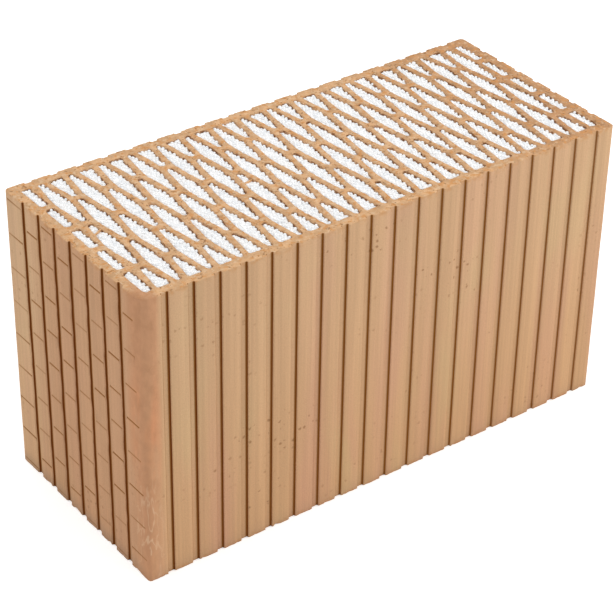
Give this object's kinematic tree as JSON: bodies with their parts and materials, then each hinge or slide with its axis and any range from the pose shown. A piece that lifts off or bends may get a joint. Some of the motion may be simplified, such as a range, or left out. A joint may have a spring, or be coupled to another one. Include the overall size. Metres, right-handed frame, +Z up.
{
  "type": "filled hollow clay block",
  "caption": "Fired-clay wall block with upright grooves on its sides and staggered rhombic cells packed with white insulating beads.",
  "frame": {"origin": "middle of the lower bed face", "axes": "+X along the long faces, +Y across the block, +Z up along the cells"},
  "size_m": [0.44, 0.187, 0.249],
  "materials": {
    "fired_clay": "matte",
    "white_beads": "matte"
  },
  "bodies": {
    "root": {"clay_block": "fired_clay", "bead_filling": "white_beads"}
  },
  "joints": []
}
